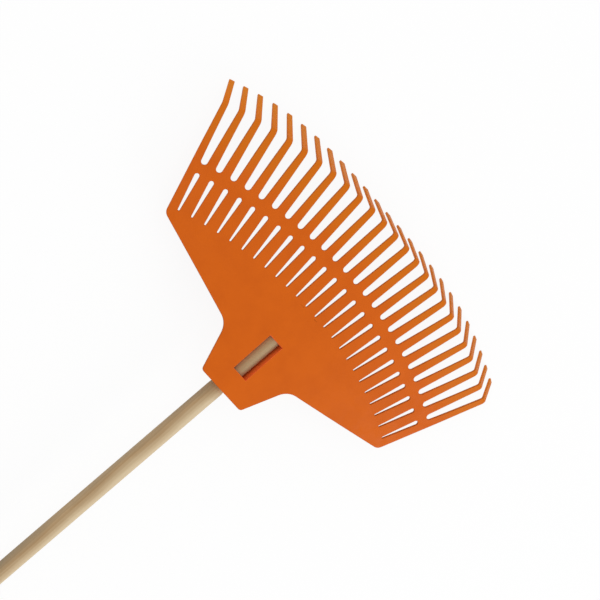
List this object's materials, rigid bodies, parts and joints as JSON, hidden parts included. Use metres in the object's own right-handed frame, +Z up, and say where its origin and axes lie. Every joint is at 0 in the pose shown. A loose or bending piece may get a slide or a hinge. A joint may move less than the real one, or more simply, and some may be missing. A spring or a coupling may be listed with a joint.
{
  "type": "leaf rake",
  "caption": "Fan-shaped plastic leaf rake head with bent sprung tines, inner slots and a handle window, on a long round wooden handle, lying on its tine tips.",
  "frame": {"origin": "on the floor that the tine tips and the handle's free end stand on, midway along the rake", "axes": "+Y along the rake towards the tines, +Z up, +X across the fan"},
  "size_m": [0.6156, 1.6176, 0.076],
  "materials": {
    "head_plastic": "orange, moulded, satin",
    "handle_wood": "pale, turned and sanded, bare",
    "screw_steel": "zinc plated"
  },
  "bodies": {
    "head": {"head": "head_plastic", "handle": "handle_wood", "socket_screw": "screw_steel"},
    "tine_01": {"tine_01": "head_plastic"},
    "tine_02": {"tine_02": "head_plastic"},
    "tine_03": {"tine_03": "head_plastic"},
    "tine_04": {"tine_04": "head_plastic"},
    "tine_05": {"tine_05": "head_plastic"},
    "tine_06": {"tine_06": "head_plastic"},
    "tine_07": {"tine_07": "head_plastic"},
    "tine_08": {"tine_08": "head_plastic"},
    "tine_09": {"tine_09": "head_plastic"},
    "tine_10": {"tine_10": "head_plastic"},
    "tine_11": {"tine_11": "head_plastic"},
    "tine_12": {"tine_12": "head_plastic"},
    "tine_13": {"tine_13": "head_plastic"},
    "tine_14": {"tine_14": "head_plastic"},
    "tine_15": {"tine_15": "head_plastic"},
    "tine_16": {"tine_16": "head_plastic"},
    "tine_17": {"tine_17": "head_plastic"},
    "tine_18": {"tine_18": "head_plastic"},
    "tine_19": {"tine_19": "head_plastic"},
    "tine_20": {"tine_20": "head_plastic"},
    "tine_21": {"tine_21": "head_plastic"},
    "tine_22": {"tine_22": "head_plastic"},
    "tine_23": {"tine_23": "head_plastic"},
    "tine_24": {"tine_24": "head_plastic"},
    "tine_25": {"tine_25": "head_plastic"}
  },
  "joints": [
    {"name": "tine_01_flex", "type": "hinge", "parent": "head", "child": "tine_01", "pos_m": [-0.2737, 0.67078, 0.04351], "axis": [0.9039, 0.3704, 0.2138], "range_deg": [-10, 15], "stiffness_Nm_per_rad": 1.6},
    {"name": "tine_02_flex", "type": "hinge", "parent": "head", "child": "tine_02", "pos_m": [-0.25222, 0.67917, 0.04835], "axis": [0.9191, 0.3413, 0.1971], "range_deg": [-10, 15], "stiffness_Nm_per_rad": 1.6},
    {"name": "tine_03_flex", "type": "hinge", "parent": "head", "child": "tine_03", "pos_m": [-0.23039, 0.68687, 0.0528], "axis": [0.933, 0.3118, 0.18], "range_deg": [-10, 15], "stiffness_Nm_per_rad": 1.6},
    {"name": "tine_04_flex", "type": "hinge", "parent": "head", "child": "tine_04", "pos_m": [-0.20825, 0.69386, 0.05683], "axis": [0.9456, 0.2818, 0.1627], "range_deg": [-10, 15], "stiffness_Nm_per_rad": 1.6},
    {"name": "tine_05_flex", "type": "hinge", "parent": "head", "child": "tine_05", "pos_m": [-0.18583, 0.70015, 0.06046], "axis": [0.9569, 0.2515, 0.1452], "range_deg": [-10, 15], "stiffness_Nm_per_rad": 1.6},
    {"name": "tine_06_flex", "type": "hinge", "parent": "head", "child": "tine_06", "pos_m": [-0.16316, 0.70571, 0.06368], "axis": [0.967, 0.2208, 0.1275], "range_deg": [-10, 15], "stiffness_Nm_per_rad": 1.6},
    {"name": "tine_07_flex", "type": "hinge", "parent": "head", "child": "tine_07", "pos_m": [-0.14026, 0.71055, 0.06647], "axis": [0.9757, 0.1898, 0.1096], "range_deg": [-10, 15], "stiffness_Nm_per_rad": 1.6},
    {"name": "tine_08_flex", "type": "hinge", "parent": "head", "child": "tine_08", "pos_m": [-0.11718, 0.71466, 0.06884], "axis": [0.9831, 0.1586, 0.0915], "range_deg": [-10, 15], "stiffness_Nm_per_rad": 1.6},
    {"name": "tine_09_flex", "type": "hinge", "parent": "head", "child": "tine_09", "pos_m": [-0.09393, 0.71802, 0.07078], "axis": [0.9892, 0.1271, 0.0734], "range_deg": [-10, 15], "stiffness_Nm_per_rad": 1.6},
    {"name": "tine_10_flex", "type": "hinge", "parent": "head", "child": "tine_10", "pos_m": [-0.07056, 0.72065, 0.0723], "axis": [0.9939, 0.0955, 0.0551], "range_deg": [-10, 15], "stiffness_Nm_per_rad": 1.6},
    {"name": "tine_11_flex", "type": "hinge", "parent": "head", "child": "tine_11", "pos_m": [-0.04709, 0.72252, 0.07338], "axis": [0.9973, 0.0637, 0.0368], "range_deg": [-10, 15], "stiffness_Nm_per_rad": 1.6},
    {"name": "tine_12_flex", "type": "hinge", "parent": "head", "child": "tine_12", "pos_m": [-0.02356, 0.72365, 0.07403], "axis": [0.9993, 0.0319, 0.0184], "range_deg": [-10, 15], "stiffness_Nm_per_rad": 1.6},
    {"name": "tine_13_flex", "type": "hinge", "parent": "head", "child": "tine_13", "pos_m": [0, 0.72403, 0.07425], "axis": [1, 0, 0], "range_deg": [-10, 15], "stiffness_Nm_per_rad": 1.6},
    {"name": "tine_14_flex", "type": "hinge", "parent": "head", "child": "tine_14", "pos_m": [0.02356, 0.72365, 0.07403], "axis": [0.9993, -0.0319, -0.0184], "range_deg": [-10, 15], "stiffness_Nm_per_rad": 1.6},
    {"name": "tine_15_flex", "type": "hinge", "parent": "head", "child": "tine_15", "pos_m": [0.04709, 0.72252, 0.07338], "axis": [0.9973, -0.0637, -0.0368], "range_deg": [-10, 15], "stiffness_Nm_per_rad": 1.6},
    {"name": "tine_16_flex", "type": "hinge", "parent": "head", "child": "tine_16", "pos_m": [0.07056, 0.72065, 0.0723], "axis": [0.9939, -0.0955, -0.0551], "range_deg": [-10, 15], "stiffness_Nm_per_rad": 1.6},
    {"name": "tine_17_flex", "type": "hinge", "parent": "head", "child": "tine_17", "pos_m": [0.09393, 0.71802, 0.07078], "axis": [0.9892, -0.1271, -0.0734], "range_deg": [-10, 15], "stiffness_Nm_per_rad": 1.6},
    {"name": "tine_18_flex", "type": "hinge", "parent": "head", "child": "tine_18", "pos_m": [0.11718, 0.71466, 0.06884], "axis": [0.9831, -0.1586, -0.0915], "range_deg": [-10, 15], "stiffness_Nm_per_rad": 1.6},
    {"name": "tine_19_flex", "type": "hinge", "parent": "head", "child": "tine_19", "pos_m": [0.14026, 0.71055, 0.06647], "axis": [0.9757, -0.1898, -0.1096], "range_deg": [-10, 15], "stiffness_Nm_per_rad": 1.6},
    {"name": "tine_20_flex", "type": "hinge", "parent": "head", "child": "tine_20", "pos_m": [0.16316, 0.70571, 0.06368], "axis": [0.967, -0.2208, -0.1275], "range_deg": [-10, 15], "stiffness_Nm_per_rad": 1.6},
    {"name": "tine_21_flex", "type": "hinge", "parent": "head", "child": "tine_21", "pos_m": [0.18583, 0.70015, 0.06046], "axis": [0.9569, -0.2515, -0.1452], "range_deg": [-10, 15], "stiffness_Nm_per_rad": 1.6},
    {"name": "tine_22_flex", "type": "hinge", "parent": "head", "child": "tine_22", "pos_m": [0.20825, 0.69386, 0.05683], "axis": [0.9456, -0.2818, -0.1627], "range_deg": [-10, 15], "stiffness_Nm_per_rad": 1.6},
    {"name": "tine_23_flex", "type": "hinge", "parent": "head", "child": "tine_23", "pos_m": [0.23039, 0.68687, 0.0528], "axis": [0.933, -0.3118, -0.18], "range_deg": [-10, 15], "stiffness_Nm_per_rad": 1.6},
    {"name": "tine_24_flex", "type": "hinge", "parent": "head", "child": "tine_24", "pos_m": [0.25222, 0.67917, 0.04835], "axis": [0.9191, -0.3413, -0.1971], "range_deg": [-10, 15], "stiffness_Nm_per_rad": 1.6},
    {"name": "tine_25_flex", "type": "hinge", "parent": "head", "child": "tine_25", "pos_m": [0.2737, 0.67078, 0.04351], "axis": [0.9039, -0.3704, -0.2138], "range_deg": [-10, 15], "stiffness_Nm_per_rad": 1.6}
  ]
}
